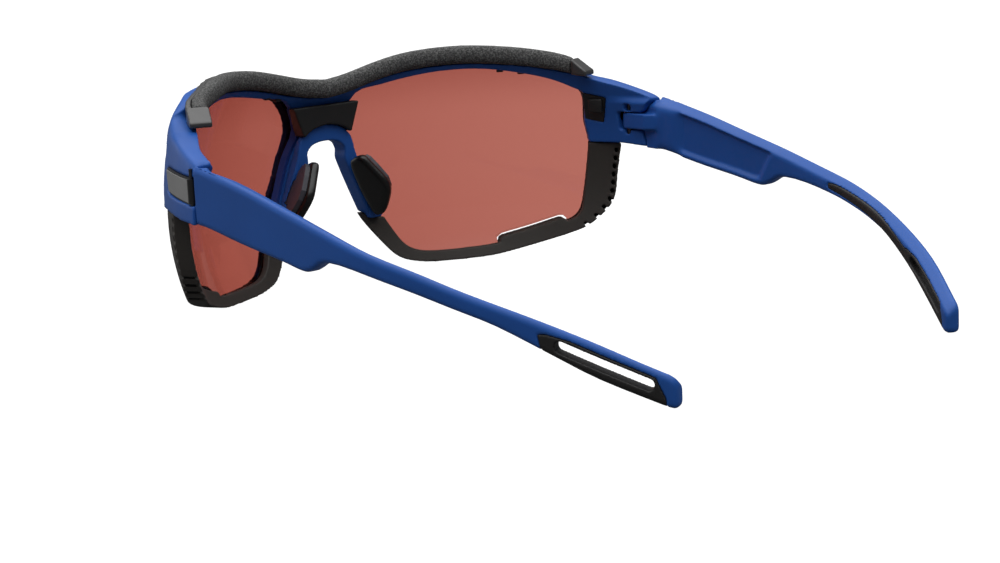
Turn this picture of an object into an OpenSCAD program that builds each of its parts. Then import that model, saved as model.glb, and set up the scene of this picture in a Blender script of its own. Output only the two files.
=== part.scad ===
// Wrap-around sports sunglasses: one moulded front, two curved lenses held between the brow and
// black lower rims, a foam sweat bar behind the brow, folding temples and swing-out lens locks.
// Millimetres. X is to the wearer's right, Y is forward and Z is up. The glasses stand on the
// bottoms of their lower rims and on their temple tips, at Z = 0.

/* [Lens] */
// Radius of the lens's rear surface
lens_r = 58.8; // [58.4:0.1:59.4]
// Thickness of the lens
lens_t = 1.9; // [1.5:0.1:2.1]
// Turn of each lens's axis, outwards from straight ahead
wrap = 29; // [28:0.5:30]
// Width of the lens opening, from its corner at the nose to its outer edge
lens_w = 62.1; // [61.1:0.1:62.6]
// Height of the lens opening
lens_h = 45.4; // [44.6:0.1:46]
// How far the lens reaches into its groove
lens_lip = 1.2; // [1:0.1:1.3]

/* [Front] */
// How far the middle of each lens lies from the plane that halves the glasses
lens_aside = 36.1; // [35.9:0.1:36.3]
// How far the middle of each lens lies in front of the hinge seams
lens_ahead = 45.1; // [44.9:0.1:45.3]
// Height of the centres of curvature
lens_z = 25.8; // [25.5:0.1:26.1]
// How far the rims stand behind the lens
rim_behind = 1.5; // [1.3:0.1:1.7]
// How far the front stands in front of the lens
rim_before = 1.3; // [1.1:0.1:1.5]
// Radius of the upright curve of the brow's front
brow_upright_r = 82; // [78:1:90]
// How far the brow's top edge lies below the middle of the foam
brow_drop = 0.4; // [0.2:0.1:0.7]
// Height of the middle of the hinges
hinge_z = 33.5; // [33.3:0.1:33.7]

/* [Nose] */
// Height of the top of the nose opening
nose_top = 33.5; // [33:0.1:34]
// Thickness of the bridge's arch above the nose
arch_t = 4; // [3.6:0.1:4.3]
// How far the arch and its arms stand behind the rims
arch_back = 3.6; // [3.2:0.1:4]
// Thickness of the soft nose pads
pad_t = 2.3; // [2:0.1:2.6]
// Thickness of the hard cores that carry the pads
core_t = 1.2; // [1:0.1:1.4]
// Width of the black cover above the arch, at its top
cover_w = 19.6; // [18.4:0.2:20]

/* [Lower rims] */
// Height of the seam between the end piece and the lower rim
rim_top = 28; // [27.7:0.1:28.3]
// Width of the lower rim below the lens
rim_w = 2.6; // [2.5:0.1:3]
// Width of the lower rim beside the temple
rim_side_w = 7.3; // [7:0.1:7.5]
// Width of the lower rim beside the nose
rim_nose_w = 5.2; // [4.8:0.1:5.5]
// How far the lower rims stand in front of the lens
low_rim_before = 0.7; // [0.5:0.1:0.9]
// Number of vents along each lower rim
vents = 10; // [6:1:10]
// Length of each vent
vent_l = 1.3; // [1:0.1:1.4]
// Width of each vent
vent_w = 0.9; // [0.7:0.1:1.1]
// Height of the tab that stands in the cut-out of the lens's lower edge
tab_h = 1.2; // [1:0.1:1.5]

/* [Sweat bar] */
// Height of the foam bar
foam_h = 4.6; // [4.2:0.1:5]
// Depth of the foam bar, front to back
foam_d = 3.6; // [3.2:0.1:4]
// Thickness of the carrier that the foam is stuck to
carrier_t = 1.4; // [1.1:0.1:1.6]

/* [Hinges and lens locks] */
// How far the hinge pins lie in front of the seams
hinge_ahead = 7.6; // [7.4:0.1:7.8]
// Radius of the hinge pins
pin_r = 0.7; // [0.6:0.05:0.8]
// Thickness of the temple tongues
tongue_t = 3.2; // [3:0.1:3.3]
// Height of the temple tongues
tongue_h = 3.9; // [3.6:0.1:4.2]
// Thickness of the lens lock's lever
lever_t = 0.7; // [0.6:0.1:0.8]
// Thickness of the plate on the lever
plate_t = 0.3; // [0.2:0.1:0.5]
// Radius of the lens lock's pins
lock_pin_r = 0.45; // [0.4:0.05:0.5]

/* [Temples] */
// Reach of the temples behind the seams
temple_l = 112.5; // [110:0.5:116]
// How far the temple tips bend in
temple_bend = 27.5; // [26:0.5:28.5]
// Thickness of the temples at the seams
temple_t = 4.4; // [4.2:0.1:4.6]
// Thickness of the temples at their tips
tip_t = 3.4; // [3.2:0.1:3.6]
// Length of the slot through each temple grip
slot_l = 20; // [18:0.5:20.5]
// Width of the slot through each temple grip
slot_w = 2.2; // [1.8:0.1:2.4]

/* [Hidden] */
$fn = 120;
blue = "royalblue";
black = "#2b2826";
big = 100;

// Clearances
fit = 0.1;
seam_gap = 0.25;
swing = 0.3;
pin_snug = 0.02;
pin_running = 0.06;

// Surfaces, as radii about a lens's centre of curvature
rear_r = lens_r - rim_behind;
lens_front_r = lens_r + lens_t;
front_r = lens_front_r + rim_before;
low_front_r = lens_front_r + low_rim_before;
seat_r = rear_r - 1.5;

// Centres of curvature: half the distance between them, and how far they lie behind the seams
drawn_wrap = 29;
lens_x = lens_aside - lens_r * sin(drawn_wrap);
setback = lens_r * cos(drawn_wrap) - lens_ahead;
// How far the end piece's skin lies from the middle at the seam
seam_out = lens_x + sqrt(front_r * front_r - setback * setback);

// The part's origin lies midway between its foremost and rearmost points
tip_round = 0.4;
seam_y = (temple_l + tip_round - (front_r - setback)) / 2;

// Curves and outlines
function spline(a, b, c, d, t) =
    (2 * b + (c - a) * t + (2 * a - 5 * b + 4 * c - d) * t * t + (3 * b - a - 3 * c + d) * t * t * t) / 2;
// A smooth curve through points, with n steps between neighbours
function curve(p, n) =
    let (last = len(p) - 1)
    [for (i = [0:last - 1], k = [0:n - 1])
        spline(p[max(i - 1, 0)], p[i], p[i + 1], p[min(i + 2, last)], k / n), p[last]];
// The same, closed
function closed_curve(p, n) =
    let (m = len(p))
    [for (i = [0:m - 1], k = [0:n - 1])
        spline(p[(i + m - 1) % m], p[i], p[(i + 1) % m], p[(i + 2) % m], k / n)];
// The normal on the left of the way from a to b, which points out of a clockwise outline
function outward(a, b) = let (t = (b - a) / norm(b - a)) [-t[1], t[0]];
// A clockwise outline with each point moved outwards
function grow(p, d) =
    let (m = len(p))
    [for (i = [0:m - 1]) p[i] + d * outward(p[(i + m - 1) % m], p[(i + 1) % m])];
function mix(a, b, t) = a + (b - a) * t;
function swapped(p) = [for (q = p) [q[1], q[0]]];
function mirrored(p) = [for (q = p) [-q[0], q[1]]];
function reversed(p) = [for (i = [len(p) - 1:-1:0]) p[i]];
function sum(p, i = 0) = i == len(p) - 1 ? p[i] : p[i] + sum(p, i + 1);
function mean(p) = sum(p) / len(p);

// A closed solid through rings of equally many points, clockwise when seen from the last ring
module skin(rings) {
    n = len(rings[0]);
    m = len(rings);
    sides = [for (i = [0:m - 2], j = [0:n - 1], half = [0, 1])
        let (a = i * n + j, b = i * n + (j + 1) % n)
        half == 0 ? [a, b, b + n] : [a, b + n, a + n]];
    near_end = [for (j = [0:n - 1]) [m * n, (j + 1) % n, j]];
    far_end = [for (j = [0:n - 1]) [m * n + 1, (m - 1) * n + j, (m - 1) * n + (j + 1) % n]];
    polyhedron(
        points = concat([for (r = rings) each r], [mean(rings[0]), mean(rings[m - 1])]),
        faces = concat(sides, near_end, far_end)
    );
}

// Places. Everything is modelled with the hinge seams at Y = 0 and on the wearer's right.
module place() translate([0, seam_y, 0]) children();
module on_left() place() mirror([1, 0, 0]) children();
module both_sides() for (side = [0, 1]) mirror([side, 0, 0]) children();
module at_lens() translate([lens_x, -setback, lens_z]) children();
module ball(r) at_lens() sphere(r);
// An outline across the lens, u sideways and v upwards, pushed along the lens's axis
module across_lens(near = 8, far = 80)
    translate([lens_x, -setback, 0]) rotate([0, 0, -wrap]) translate([0, far, 0]) rotate([90, 0, 0])
        linear_extrude(far - near) children();
// An outline seen from the front, x sideways and z upwards, between two places on Y
module across_face(near, far) translate([0, far, 0]) rotate([90, 0, 0]) linear_extrude(far - near) children();
// An outline seen from the side, y sideways and z upwards, between two places on X
module across_side(near, far)
    translate([near, 0, 0]) rotate([90, 0, 90]) linear_extrude(far - near) children();
// A point by plan angle from straight ahead, plan radius and height
function about_lens(a, r, z) = [lens_x + r * sin(a), -setback + r * cos(a), z];

// Opening of the right lens as the wearer sees it, drawn for a width of 62.1 and a height of 45.4
drawn_w = 62.1;
drawn_h = 45.4;
opening_low = 2.5;
opening_marks = [
    [-24.2, 44], [-17.6, 45.5], [-10, 46.8], [-2, 47.7], [7, 47.9], [15, 46.9], [24, 44.7], [30, 42.2],
    [33, 40], [33, 33.5], [33.9, 28.4], [33.3, 22], [32.2, 15], [30.9, 10.4], [27.4, 8.2], [18.7, 5.3],
    [10.2, 3.3], [4, 2.7], [-3, 2.5], [-9, 2.9], [-13, 4.7], [-16, 8.6], [-20, 15.5], [-23.4, 22.8],
    [-26.1, 30.5], [-28.2, 36.8]
];
function fitted(p) = [p[0] * lens_w / drawn_w, opening_low + (p[1] - opening_low) * lens_h / drawn_h];
opening_points = [for (p = opening_marks) fitted(p)];
opening = closed_curve(opening_points, 3);

// Tab of the lower rim in the cut-out of the lens, and the slit that air passes through
tab_from = 10.9;
tab_to = 27.6;
tab_slit = 0.6;
low_edge = curve([for (i = [19:-1:13]) opening_points[i]], 4);
function tab_point(u, share) = [u, lookup(u, low_edge) + tab_h * share];
tab = concat(
    [[tab_from, 0], tab_point(tab_from + 0.3, 0.7), tab_point(tab_from + 1.2, 1)],
    [for (u = [14:2.4:24]) tab_point(u, 1.05)],
    [tab_point(tab_to - 1.3, 1), tab_point(tab_to - 0.6, 0.8), tab_point(tab_to, 0.2), [tab_to, 0]]
);

// Sweat bar: height of its middle by plan angle about the lens
bar_heights = curve([
    [-11, 46.1], [-5, 46.6], [0, 47.3], [8, 49.1], [16, 50.6], [25, 51.4], [35, 51.7], [46, 51],
    [54, 49.8], [63, 47.9], [70, 45.1], [76, 42.5]
], 4);
bar_end = 63.2;
bar_stop = bar_end + 0.55;
cap_end = 68;
carrier_drop = 0.8;
cap_h = 1.2;
bar_steps = 13;
carrier_shares = concat(
    [for (i = [0:bar_steps]) i / bar_steps * bar_stop / cap_end], [(bar_stop + 0.3) / cap_end, 1]
);
half_seat = concat([for (i = [0:len(carrier_shares) - 2]) carrier_shares[i]], [1.01]);
seat_shares = concat(reversed([for (i = [1:len(half_seat) - 1]) -half_seat[i]]), half_seat);
function bar_z(a) = lookup(a, bar_heights);
function bar_half(a) = a < bar_end ? foam_h / 2 : mix(foam_h, cap_h, (a - bar_end) / (cap_end - bar_end)) / 2;
carrier_r = seat_r - carrier_t;
foam_r = carrier_r - foam_d;
// Ring of a bar that follows the brow, at a share of the way from the middle to plan angle to
function bar_ring(share, to, section) =
    [for (q = section(share)) let (
        a = mix(-asin(lens_x / q[0]), to, abs(share)),
        p = about_lens(a, q[0], bar_z(a) + q[1])
    ) [share < 0 ? -p[0] : p[0], p[1], p[2]]];

module outer_form() at_lens() rotate_extrude() {
    intersection() {
        circle(front_r);
        translate([0, -big]) square(big);
    }
    intersection() {
        translate([front_r - brow_upright_r, 0]) circle(brow_upright_r);
        square([big, 40]);
    }
}

// The lens's own outline, grown by d
module lens_outline(d) difference() {
    polygon(grow(opening, lens_lip + d));
    polygon(grow(tab, tab_slit - d));
}

// Nose: edges of the opening and of the arch with its arms, from the top down the right side
nose_edge = curve([
    [0, nose_top], [2.8, nose_top - 0.3], [4.9, nose_top - 1.3], [5.7, nose_top - 3], [5.5, nose_top - 5],
    [7, 24.6], [9, 20], [12.1, 13.2]
], 3);
arch_edge = curve([
    [0, nose_top + arch_t], [4.2, nose_top + arch_t - 0.8], [7.2, nose_top + arch_t - 2.9],
    [8.3, nose_top + arch_t - 5.6], [9, 29.2], [12.4, 21], [15.8, 12.6]
], 3);
arch_rear = rear_r - setback - arch_back;
nose_hole = concat(
    [[-12.1, -1], [-12.1, 13.2]], mirrored(reversed(nose_edge)), nose_edge, [[12.1, 13.2], [12.1, -1]]
);
// Seam between the nose arm and the lower rim, and the outline of half of the front
arm_seam = [[-17, 12], [-26.5, 14.6], [-38, 14.6]];
brow_r = 59;
brow_rise = [[40, 0], [52, 1], [58, 0.4], [62, -0.8], [66, -1.6]];
brow_edge = [for (a = [-12:6:66]) [brow_r * sin(a - wrap), bar_z(a) - brow_drop + lookup(a, brow_rise)]];
end_y = 23;
end_top = hinge_z + 6.6;
end_slope = 0.31;
front_outline = concat(
    brow_edge,
    [[52, 42], [53, 38], [53, 27], [46.4, 27.5], [40.7, rim_top + 0.2], [33, rim_top + 0.2]],
    arm_seam
);

// Lower rim: width at each mark of the lens opening, from the temple round to the nose
rim_widths = [
    rim_side_w, rim_side_w - 0.4, rim_side_w - 0.7, mix(rim_w, rim_side_w, 0.2), rim_w + 0.2, rim_w,
    rim_w, rim_w, rim_w, rim_w, mix(rim_w, rim_nose_w, 0.3), mix(rim_w, rim_nose_w, 0.6),
    rim_nose_w, rim_nose_w
];
rim_edge = curve(
    [for (i = [0:13]) let (p = opening_points[i + 10])
        p + rim_widths[i] * outward(opening_points[i + 9], opening_points[(i + 11) % 26])],
    4
);
rim_outline = concat([[26, 40]], [[rim_edge[0][0], 40]], rim_edge, [[-10, 40]]);
vent_inset = 0.8;
vent_pitch = 2.05;
rim_side = swapped([for (p = rim_edge) if (p[0] > 30) p]);

// Hinge
hinge_in = 5;
hinge_x = seam_out - hinge_in;
tongue_in = hinge_x - tongue_t / 2;
tongue_out = hinge_x + tongue_t / 2;
tongue_up = 0.3;
tongue_low = hinge_z + tongue_up - tongue_h / 2;
tongue_top = hinge_z + tongue_up + tongue_h / 2;
root_edge = [
    [-1.5, hinge_z + 5.8], [-0.3, hinge_z + 5.5], [0.5, hinge_z + 4.7], [1.6, hinge_z + 3],
    [2.8, tongue_top], [3, tongue_low], [2.2, hinge_z - 4.3], [2, hinge_z - 6.2], [-1.5, hinge_z - 6.4]
];
pin_top = hinge_z + 4.9;
pin_low = hinge_z - 4.3;
// Windows that show the pin: how far ahead of it, bottom and size
hinge_windows = [[-1.1, hinge_z + 2.8, 1.8], [-0.4, hinge_z - 3, 1.5]];

// Lens lock: lever about a pin in the end piece's skin, its hook through the tab of the lens
lock_x = seam_out - 1.1;
lock_y = 1.5;
knuckle_r = 0.95;
lever_r = front_r - 1.3;
lever_out_r = lever_r + lever_t;
lever_front = 16.6;
lever_side = [[lock_y, 31.2], [lock_y, 37], [lever_front - 0.6, 37.7], [lever_front, 37.2],
    [lever_front - 0.6, 33], [lever_front - 1.6, 32.3]];
lever_grown = grow(lever_side, 0.2);
lever_room = concat([[-2, 31], [-2, 37.2]], [for (i = [1:len(lever_side) - 1]) lever_grown[i]]);
hook_y = [10.9, 12.3];
hook_z = [34.8, 36.4];
hook_r = lens_r - 0.4;
tab_z = [33.9, 37.3];
tab_end_y = 9.7;
knuckle_z = [31.6, 36.8];
lock_pin_z = [29.8, 39];

// Right half of the shell that the front is cut from
module half_shell() intersection() {
    difference() {
        outer_form();
        ball(rear_r);
    }
    across_lens() polygon(front_outline);
    cube(big);
}

// Right half of the front, less all that it holds
module half_front() difference() {
    half_shell();
    across_lens() polygon(opening);
    lens_space();
    seal_pocket();
    above_end_piece();
    root_space();
    tongue_space();
    for (w = hinge_windows) hinge_window(w);
    translate([hinge_x, hinge_ahead, pin_low]) cylinder(r = pin_r + pin_snug, h = pin_top - pin_low);
    lever_space();
    translate([lock_x, lock_y, knuckle_z[0] - 0.2])
        cylinder(r = knuckle_r + swing, h = knuckle_z[1] - knuckle_z[0] + 0.4);
    translate([lock_x, lock_y, lock_pin_z[0]])
        cylinder(r = lock_pin_r + pin_snug, h = lock_pin_z[1] - lock_pin_z[0]);
    hook_space();
    housing_form(fit);
}

module between_balls(inner, outer) difference() {
    ball(outer);
    ball(inner);
}

module lens_space() intersection() {
    between_balls(lens_r - fit, lens_front_r + fit);
    union() {
        across_lens() lens_outline(fit);
        across_side(40, 80) translate([tab_end_y - 0.3, tab_z[0] - fit])
            square([12, tab_z[1] - tab_z[0] + 2 * fit]);
    }
}

// Cut that makes the top face of the end piece, which rises towards the brow
module above_end_piece() across_side(40, 90) polygon([
    [-5, end_top - 5 * end_slope], [end_y, end_top + end_y * end_slope], [end_y, 60], [-5, 60]
]);

// Room for the temple's root and for its tongue
module root_space() across_side(55, tongue_out + 0.2) polygon(grow(root_edge, seam_gap));
tongue_room = tongue_t / 2 + swing;
module tongue_space() translate([0, 0, tongue_low - swing]) linear_extrude(tongue_h + 2 * swing) polygon(concat(
    [[40, hinge_ahead + tongue_room], [40, -2], [hinge_x + tongue_room, -2]],
    [for (a = [0:15:90]) [hinge_x + tongue_room * cos(a), hinge_ahead + tongue_room * sin(a)]]
));
module hinge_window(w)
    translate([50, hinge_ahead + w[0] - w[2] / 2, w[1]]) cube([hinge_x - 50.3, w[2], w[2]]);

// Recess of the lens lock's lever, open to the seam, and the hook's way in with room for its swing
module lever_space() intersection() {
    translate([lens_x, -setback, 0]) difference() {
        cylinder(r = front_r + 5, h = big);
        translate([0, 0, -1]) cylinder(r = lever_r - fit, h = big + 2);
    }
    across_side(50, 90) polygon(lever_room);
}
module hook_space() intersection() {
    translate([lens_x, -setback, hook_z[0] - 0.2]) difference() {
        cylinder(r = front_r + 5, h = hook_z[1] - hook_z[0] + 0.4);
        translate([0, 0, -1]) cylinder(r = hook_r - 0.3, h = 10);
    }
    translate([40, hook_y[0] - swing, 0]) cube([50, 3.4, big]);
}

// Arch over the nose with its two arms
module nose_block() across_face(arch_rear, arch_rear + 5.5) difference() {
    polygon(concat(mirrored(reversed(arch_edge)), arch_edge));
    polygon(nose_hole);
}

// The nose opening widens towards the front
flare_y = 52;
flare_l = 4;
flare_edge = [for (i = [3:3:len(nose_edge) - 1]) nose_edge[i]];
flare_outline = concat([[-12.1, -1]], mirrored(reversed(flare_edge)), [nose_edge[0]], flare_edge, [[12.1, -1]]);
function face_ring(p, y) = [for (q = p) [q[0], y, q[1]]];
module nose_flare()
    skin([face_ring(grow(flare_outline, flare_l * 0.95), flare_y + flare_l), face_ring(flare_outline, flare_y)]);

// Seat of the sweat bar: it follows the bar's ledge and is open upwards
module seat_space() skin([
    for (s = seat_shares) bar_ring(s, cap_end, function(share)
        let (low = -bar_half(min(abs(share), 1) * cap_end) - fit)
        [[45, low], [45, 20], [seat_r, 20], [seat_r, low]])
]);

// The arch and its arms where they pass the lenses and end above the lower rims
module arm_step() intersection() {
    between_balls(rear_r - fit, front_r);
    across_lens() polygon(concat([[-5, -5], [-5, 12]], arm_seam, [[-38, -5]]));
}
module arch() difference() {
    nose_block();
    both_sides() lens_space();
    both_sides() seal_pocket();
    both_sides() arm_step();
}

module front_frame() color(blue) place() difference() {
    union() {
        both_sides() half_front();
        arch();
    }
    across_face(30, 70) polygon(nose_hole);
    nose_flare();
    both_sides() core_tongue(fit);
    seat_space();
}

// Lens
module lens() color("indianred", 0.6) difference() {
    intersection() {
        between_balls(lens_r, lens_front_r);
        union() {
            across_lens() lens_outline(0);
            across_side(50, 80) translate([tab_end_y, tab_z[0]]) square([11, tab_z[1] - tab_z[0]]);
        }
    }
    translate([50, hook_y[0] - 0.3, hook_z[0] - 0.2]) cube([20, 2.8, hook_z[1] - hook_z[0] + 0.4]);
}

// The inside of the lower rim is flatter beside the temple: how far its ball is moved for that
side_shift = [3.6, -6.2, 0];
// Lower rim with its groove, its tab and its vents
module lower_rim() color(black) difference() {
    intersection() {
        between_balls(rear_r, low_front_r);
        across_lens() difference() {
            polygon(rim_outline);
            difference() {
                polygon(opening);
                polygon(tab);
            }
            polygon(concat(
                [[rim_edge[0][0] + 2, rim_top], [20, rim_top], [-12, 12]],
                [for (p = arm_seam) p - [0, seam_gap]],
                [[-38, 60], [60, 60], [60, rim_top]]
            ));
        }
        cube(big);
    }
    lens_space();
    nose_flare();
    translate(side_shift) ball(rear_r);
    across_lens() for (i = [0:vents - 1]) {
        v = rim_top - 1.9 - i * vent_pitch;
        u = lookup(v, rim_side);
        lean = atan(lookup(v - 0.5, rim_side) - lookup(v + 0.5, rim_side));
        translate([u - vent_inset, v]) rotate(-lean) square([vent_w, vent_l], center = true);
    }
}

// Dark lining of the opening's edge at the nose, behind the lens, and its pocket in the front
seal_w = 0.7;
seal_low = 15.5;
seal_high = 43;
seal_rows = [
    for (i = [0:len(opening) - 1])
        if (opening[i][0] < -12 && opening[i][1] > seal_low && opening[i][1] < seal_high) i
];
function seal_edge(d) = [for (i = seal_rows) grow(opening, d)[i]];
module seal_pocket() intersection() {
    between_balls(rear_r - 1, lens_r);
    across_lens() polygon(concat(seal_edge(-1), reversed(seal_edge(seal_w + fit))));
}
module lens_seal() color("#16141a") intersection() {
    between_balls(rear_r, lens_r - 0.02);
    across_lens() polygon(concat(seal_edge(0), reversed(seal_edge(seal_w))));
}

// Cover above the arch, seated on the front between the two lenses
cover_rear = arch_rear - 1.2;
cover_top = 42.4;
module bridge_cover() color("#1c1b1c") place() both_sides() intersection() {
    across_face(cover_rear, 60) difference() {
        polygon([[0, cover_top], [cover_w / 2, cover_top], [7.2, 35.2], [0, 35.2]]);
        translate([0, fit]) polygon(concat(arch_edge, [[0, 12]]));
    }
    ball(rear_r);
}

// Nose pads: a soft pad on a hard core that plugs into the arm
pad_middle = [9.5, 42.8, 21.3];
pad_outline = closed_curve([
    [-3.6, 6.6], [-1.9, 8], [0.2, 8.5], [1.5, 7.8], [2.9, 4.9], [4.8, 0.6], [4.4, -2.1], [2.4, -5.1],
    [-0.3, -8], [-2.6, -8.7], [-3.8, -8], [-4.2, -4.8], [-4.3, 0.3]
], 3);
// The pad's own frame: backwards, upwards, and out of the face that meets the nose
module at_pad()
    translate(pad_middle) rotate([0, 115.5, -162.3]) rotate([0, 0, 97.8]) children();
function flat_ring(p, z) = [for (q = p) [q[0], q[1], z]];
module nose_pad() color("#26211f") at_pad() skin([
    for (k = [[0.7, 0], [0.2, 0.15], [0, 0.5], [0, 0.75], [0.35, 0.92], [1.1, 1]])
        flat_ring(grow(pad_outline, -k[0]), -pad_t + pad_t * k[1])
]);
core_tongue_z = -pad_t - core_t;
core_tongue_from = [-8, -3];
core_tongue_size = [6, 6];
core_rear_edge = [
    [-2.9, 5.4], [-1.4, 6.8], [0.2, 7.3], [1.1, 6.6], [2.2, 4.3], [3.6, 0.6], [3.3, -1.8], [1.8, -4.4],
    [-0.3, -6.8], [-1.9, -7.4], [-2.8, -6.8], [-3.1, -3]
];
module core_tongue(d) at_pad()
    translate([core_tongue_from[0] - d, core_tongue_from[1] - d, core_tongue_z - d])
        cube([core_tongue_size[0], core_tongue_size[1] + 2 * d, core_t + 2 * d]);
module pad_core() color("#3b3b42") at_pad() translate([0, 0, core_tongue_z]) linear_extrude(core_t)
    polygon(concat(
        [core_tongue_from, core_tongue_from + [0, core_tongue_size[1]]],
        [[core_rear_edge[0][0], core_tongue_from[1] + core_tongue_size[1]]],
        core_rear_edge
    ));

// Sweat bar: carrier in the front's seat, and the crowned foam on it
function carrier_section(share) =
    let (
        a = abs(share) * cap_end,
        on_bar = a < bar_stop + 0.1,
        low = -bar_half(a),
        top = on_bar ? bar_half(a) - carrier_drop : bar_half(a),
        inner = on_bar ? carrier_r : foam_r
    )
    [[inner, low], [inner, top], [seat_r - 0.05, top], [seat_r - 0.05, low]];
module sweat_bar_carrier() color("dimgray") place() skin(concat(
    [for (i = [len(carrier_shares) - 1:-1:1])
        bar_ring(-carrier_shares[i], cap_end, function(s) carrier_section(s))],
    [for (s = carrier_shares) bar_ring(s, cap_end, function(s) carrier_section(s))]
));
foam_shape = [
    [0, -0.42], [0, 0.42], [0.25, 0.5], [0.55, 0.5], [0.8, 0.42], [0.95, 0.25], [1, 0],
    [0.96, -0.25], [0.8, -0.43], [0.55, -0.5], [0.25, -0.5]
];
function foam_section(share) =
    let (drawn_in = 1 - 0.12 * pow(abs(share), 12))
    [for (q = reversed(foam_shape)) [carrier_r - 0.15 - foam_d * q[0] * drawn_in, foam_h * q[1] * drawn_in]];
module sweat_bar_foam() color("#4b4b4b") place() skin([
    for (i = [-2 * bar_steps:2 * bar_steps]) bar_ring(i / 2 / bar_steps, bar_end, function(s) foam_section(s))
]);

// Temple: outlines from the hinge backwards, drawn for a reach of 113 and a bend of 27.5
drawn_l = 113;
drawn_bend = 27.5;
fixed_l = 50;
function back(d) = d < fixed_l ? d : fixed_l + (d - fixed_l) * (temple_l - fixed_l) / (drawn_l - fixed_l);
temple_way = curve([
    [0, 0], [16, 0.4], [30, 0.8], [42, 1.1], [52, 1.7], [60, 2.8], [67.5, 4.5], [75, 6.7], [83, 10],
    [92.5, 14.6], [100, 18.8], [107, 23.4], [113, 27.5]
], 4);
temple_tops = curve([
    [0, 39.8], [4, 39.1], [16, 36.7], [30, 33.2], [42, 30.2], [54, 27], [67.5, 23.8], [83, 19],
    [92.5, 15.7], [100, 12.6], [107, 9.1], [113, 6.2]
], 4);
temple_lows = curve([
    [0, 27.2], [4, 26.8], [16, 24.5], [28, 22.6], [35.5, 21.2], [38.5, 21.7], [42.5, 23.6], [49, 23.3],
    [60, 21.3], [67.5, 19.6], [75, 17.5], [83, 14.8], [92.5, 10.1], [100, 6], [107, 2.7], [113, 0]
], 4);
temple_walls = [[0, temple_t], [30, mix(temple_t, tip_t, 0.6)], [50, tip_t], [113, tip_t]];
seam_x = seam_out - 2.6;
function temple_x(d) = seam_x - lookup(d, temple_way) * temple_bend / drawn_bend;
// A point of the temple by distance behind the seam, offset outwards and height
function temple_point(d, n, z) =
    let (
        way = [temple_x(d + 1) - temple_x(d - 1), back(d - 1) - back(d + 1)],
        t = way / norm(way)
    )
    [temple_x(d) - t[1] * n, -back(d) + t[0] * n, z];
function temple_ring(d, size) =
    let (
        w = lookup(d, temple_walls) / 2 * size,
        top = lookup(d, temple_tops),
        low = lookup(d, temple_lows),
        mid = (top + low) / 2,
        section = [
            [-w, mid], [-w, top - 1.8], [0.2 - w, top - 1.2], [0.9 - w, top - 0.8], [0, top - 0.35],
            [w - 1, top], [w - 0.4, top - 0.3], [w, top - 1.1], [w, mid], [w, low + 0.9],
            [w - 0.25, low + 0.25], [w - 0.9, low], [0.9 - w, low], [0.25 - w, low + 0.25], [-w, low + 0.9]
        ]
    )
    [for (q = section) temple_point(d, q[0], mid + (q[1] - mid) * size)];
temple_steps = concat(
    [seam_gap], [for (d = [3:3:30]) d], [for (d = [32:1.5:44]) d], [for (d = [47:4:59]) d],
    [for (d = [62:3:107]) d], [109.5, 111.5]
);
module temple_form() skin(concat(
    [for (d = temple_steps) temple_ring(d, 1)],
    [temple_ring(112.4, 0.93), temple_ring(112.8, 0.8), temple_ring(113, 0.6)]
));

// The grip's frame: forwards along the tip, upwards, and outwards
module at_grip() translate([46.2, -101.5, 8.5]) rotate([0, 90, -31.9]) rotate([0, 0, 111.6]) children();
grip_outline = [[-12.3, -1.8], [-9.1, 1.3], [8, 1.4], [12.5, 0.8], [14.4, 0.2], [13.1, -1.9], [9.3, -5], [-13.5, -5]];
module grip_space() {
    at_grip() translate([0, 0, -8]) linear_extrude(16) polygon(grip_outline);
    strip_space();
}
// Narrow strip on the inside of the temple, ahead of the tip
module strip_space() skin([
    for (d = [59:3.4:93]) let (
        w = lookup(d, temple_walls) / 2,
        low = lookup(d, temple_lows) + lookup(d, [[59, 1.3], [75, 0.7], [85, 0.1], [93, 0.1]]),
        tall = lookup(d, [[59, 1.2], [62.4, 1.7], [75, 2.2], [93, 3]])
    ) [
        temple_point(d, -w - 1, low), temple_point(d, -w - 1, low + tall),
        temple_point(d, -w + 1.1, low + tall), temple_point(d, -w + 1.1, low)
    ]
]);
module slot() at_grip() translate([0.6, -0.4, -8]) linear_extrude(16) hull_slot();
module hull_slot() {
    square([slot_l - slot_w, slot_w], center = true);
    for (s = [-1, 1]) translate([s * (slot_l - slot_w) / 2, 0]) circle(slot_w / 2, $fn = 32);
}

module temple() color(blue) difference() {
    union() {
        difference() {
            temple_form();
            grip_space();
        }
        // Inner layer of the root, and the tongue that the pin passes through
        across_side(seam_x - temple_t / 2, tongue_out) polygon(root_edge);
        translate([0, 0, tongue_low]) linear_extrude(tongue_h) polygon(concat(
            [[tongue_in, 1], [seam_x - temple_t / 2, -3], [tongue_out, -3]],
            [for (a = [0:12:180]) [hinge_x + tongue_t / 2 * cos(a), hinge_ahead + tongue_t / 2 * sin(a)]]
        ));
    }
    translate([hinge_x, hinge_ahead, 0]) cylinder(r = pin_r + pin_running, h = big);
}

module temple_grip() color(black) difference() {
    intersection() {
        temple_form();
        grip_space();
    }
    slot();
}

module hinge_pin() color("silver")
    translate([hinge_x, hinge_ahead, pin_low]) cylinder(r = pin_r, h = pin_top - pin_low);

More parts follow.
